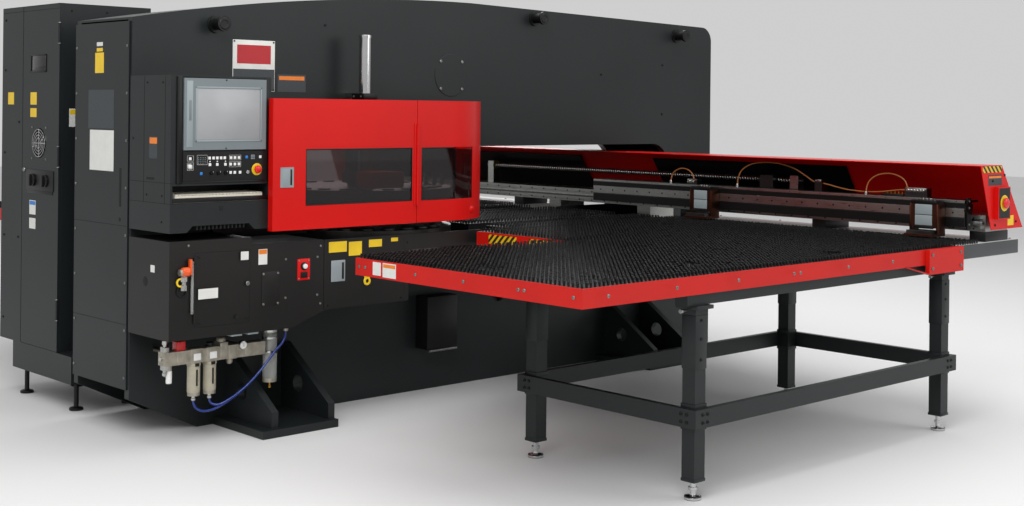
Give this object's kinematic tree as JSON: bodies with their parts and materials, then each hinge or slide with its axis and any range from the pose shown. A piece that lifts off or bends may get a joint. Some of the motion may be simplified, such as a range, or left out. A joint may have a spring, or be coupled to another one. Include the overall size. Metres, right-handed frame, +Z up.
{
  "type": "cnc turret punch press",
  "caption": "Bridge-frame turret punch press with an operator console, a red guard over the turret, moving brush tables on legs and a sheet carriage with clamps.",
  "frame": {"origin": "on the floor under the middle of the machine, at the frame's mid-plane", "axes": "+X along the bridge frame away from the console end, +Y from the operator's side to the rear, +Z up"},
  "size_m": [4.57, 5.99, 2.306],
  "materials": {
    "charcoal": "fine textured powder coat",
    "black_paint": "satin powder coat",
    "red_paint": "gloss enamel",
    "white_deck": "satin enamel",
    "bright_steel": "ground",
    "tool_steel": "oiled",
    "anodised": "bronze anodised",
    "cast_aluminium": "cast",
    "chrome": "polished",
    "smoked_pane": "smoked polycarbonate",
    "brush_nylon": "nylon bristle",
    "bezel_plastic": "moulded",
    "panel_black": "film",
    "stop_red": "moulded",
    "button_white": "moulded",
    "knob_black": "moulded",
    "keyboard_ivory": "moulded",
    "handle_grey": "moulded",
    "lockout_orange": "moulded",
    "hose_blue": "extruded",
    "hose_tan": "extruded"
  },
  "bodies": {
    "frame": {"front_plate": "charcoal", "rear_plate": "charcoal", "frame_ties": "black_paint", "top_deck": "charcoal", "end_cover": "charcoal", "front_feet": "charcoal", "rear_feet": "charcoal", "lifting_pins": "black_paint", "ram_cylinder": "tool_steel", "console_housing": "charcoal", "console_screen": "bezel_plastic", "control_panel": "panel_black", "lower_console": "charcoal", "side_cover": "charcoal", "shutoff_valve": "cast_aluminium", "guard_fixed": "red_paint", "fixed_window": "smoked_pane", "centre_table": "black_paint", "centre_brushes": "brush_nylon", "guide_beams": "black_paint", "table_legs": "charcoal", "leg_braces": "charcoal", "cabinet": "charcoal", "exhaust_tube": "chrome", "air_unit": "cast_aluminium", "drain_hoses": "hose_blue"},
    "ram": {"ram": "tool_steel"},
    "active_punch": {"active_punch": "tool_steel"},
    "upper_turret": {"upper_turret": "tool_steel", "tool_heads": "tool_steel"},
    "lower_turret": {"lower_turret": "tool_steel"},
    "console_estop": {"console_estop": "stop_red"},
    "start_button": {"start_button": "button_white"},
    "selector_1": {"selector_1": "knob_black"},
    "selector_2": {"selector_2": "knob_black"},
    "selector_3": {"selector_3": "knob_black"},
    "keyboard": {"keyboard_tray": "keyboard_ivory"},
    "lower_door": {"lower_door": "charcoal"},
    "valve_lever": {"valve_lever": "lockout_orange"},
    "guard_door": {"guard_door": "red_paint", "door_window": "smoked_pane"},
    "guard_handle": {"guard_handle": "handle_grey"},
    "carriage_base": {"table_decks": "black_paint", "table_skirts": "red_paint", "table_brushes": "brush_nylon", "plain_decks": "white_deck", "cross_beam": "bright_steel", "carriage_cover": "red_paint", "drive_screw": "bright_steel"},
    "cap_estop": {"cap_estop": "stop_red"},
    "carriage": {"carriage_bar": "bright_steel", "air_lines": "hose_tan"},
    "clamp_front": {"clamp_front": "anodised"},
    "clamp_rear": {"clamp_rear": "anodised"},
    "jaw_front": {"jaw_front": "tool_steel"},
    "jaw_rear": {"jaw_rear": "tool_steel"},
    "cabinet_door": {"cabinet_door": "charcoal"},
    "breaker_knob_near": {"breaker_knob_near": "knob_black"},
    "breaker_knob_far": {"breaker_knob_far": "knob_black"},
    "fan": {"fan_rotor": "knob_black"}
  },
  "joints": [
    {"name": "carriage_base_travel", "type": "slide", "parent": "frame", "child": "carriage_base", "axis": [1, 0, 0], "range_m": [-1.27, 0]},
    {"name": "carriage_travel", "type": "slide", "parent": "carriage_base", "child": "carriage", "axis": [0, 1, 0], "range_m": [0, 2.5]},
    {"name": "clamp_front_shift", "type": "slide", "parent": "carriage", "child": "clamp_front", "axis": [0, 1, 0], "range_m": [-0.1, 1.3]},
    {"name": "clamp_rear_shift", "type": "slide", "parent": "carriage", "child": "clamp_rear", "axis": [0, 1, 0], "range_m": [-1.3, 0.7]},
    {"name": "jaw_front_open", "type": "hinge", "parent": "clamp_front", "child": "jaw_front", "pos_m": [1.305, -2.63, 1.0123], "axis": [0, 1, 0], "range_deg": [0, 8]},
    {"name": "jaw_rear_open", "type": "hinge", "parent": "clamp_rear", "child": "jaw_rear", "pos_m": [1.305, -1.06, 1.0123], "axis": [0, 1, 0], "range_deg": [0, 8]},
    {"name": "upper_turret_spin", "type": "hinge", "parent": "frame", "child": "upper_turret", "pos_m": [-0.65, 0, 1.1], "axis": [0, 0, 1], "continuous": true},
    {"name": "lower_turret_spin", "type": "hinge", "parent": "frame", "child": "lower_turret", "pos_m": [-0.65, 0, 0.9], "axis": [0, 0, 1], "continuous": true},
    {"name": "ram_stroke", "type": "slide", "parent": "frame", "child": "ram", "axis": [0, 0, -1], "range_m": [0, 0.037]},
    {"name": "punch_stroke", "type": "slide", "parent": "upper_turret", "child": "active_punch", "axis": [0, 0, -1], "range_m": [0, 0.037]},
    {"name": "guard_door_swing", "type": "hinge", "parent": "frame", "child": "guard_door", "pos_m": [-0.805, -0.758, 1.37], "axis": [0, 0, 1], "range_deg": [0, 110]},
    {"name": "guard_handle_pull", "type": "hinge", "parent": "guard_door", "child": "guard_handle", "pos_m": [-1.6897, -0.75, 1.3045], "axis": [0, 0, -1], "range_deg": [0, 30]},
    {"name": "keyboard_draw", "type": "slide", "parent": "frame", "child": "keyboard", "axis": [0, -1, 0], "range_m": [0, 0.15]},
    {"name": "console_estop_press", "type": "slide", "parent": "frame", "child": "console_estop", "axis": [0, 1, 0], "range_m": [0, 0.004]},
    {"name": "start_press", "type": "slide", "parent": "frame", "child": "start_button", "axis": [0, 1, 0], "range_m": [0, 0.0025], "stiffness_N_per_m": 400},
    {"name": "selector_1_turn", "type": "hinge", "parent": "frame", "child": "selector_1", "pos_m": [-2.061, -0.71, 1.335], "axis": [0, 1, 0], "range_deg": [-45, 45]},
    {"name": "selector_2_turn", "type": "hinge", "parent": "frame", "child": "selector_2", "pos_m": [-2.021, -0.71, 1.335], "axis": [0, 1, 0], "range_deg": [-45, 45]},
    {"name": "selector_3_turn", "type": "hinge", "parent": "frame", "child": "selector_3", "pos_m": [-1.981, -0.71, 1.335], "axis": [0, 1, 0], "range_deg": [-45, 45]},
    {"name": "cap_estop_press", "type": "slide", "parent": "carriage_base", "child": "cap_estop", "axis": [0, 1, 0], "range_m": [0, 0.004]},
    {"name": "lower_door_swing", "type": "hinge", "parent": "frame", "child": "lower_door", "pos_m": [-2.151, -0.706, 0.765], "axis": [0, 0, -1], "range_deg": [0, 95]},
    {"name": "valve_lever_turn", "type": "hinge", "parent": "frame", "child": "valve_lever", "pos_m": [-2.1827, -0.717, 0.86], "axis": [1, 0, 0], "range_deg": [0, 90]},
    {"name": "cabinet_door_swing", "type": "hinge", "parent": "frame", "child": "cabinet_door", "pos_m": [-2.238, 0.597, 1.26], "axis": [0, 0, 1], "range_deg": [0, 110]},
    {"name": "breaker_near_turn", "type": "hinge", "parent": "cabinet_door", "child": "breaker_knob_near", "pos_m": [-2.235, 0.748, 1.236], "axis": [-1, 0, 0], "range_deg": [0, 90]},
    {"name": "breaker_far_turn", "type": "hinge", "parent": "cabinet_door", "child": "breaker_knob_far", "pos_m": [-2.235, 0.908, 1.236], "axis": [-1, 0, 0], "range_deg": [0, 90]},
    {"name": "fan_spin", "type": "hinge", "parent": "cabinet_door", "child": "fan", "pos_m": [-2.227, 0.845, 1.445], "axis": [1, 0, 0], "continuous": true}
  ],
  "couplings": [
    {"joint": "lower_turret_spin", "follows": "upper_turret_spin", "ratio": 1},
    {"joint": "punch_stroke", "follows": "ram_stroke", "ratio": 1}
  ]
}
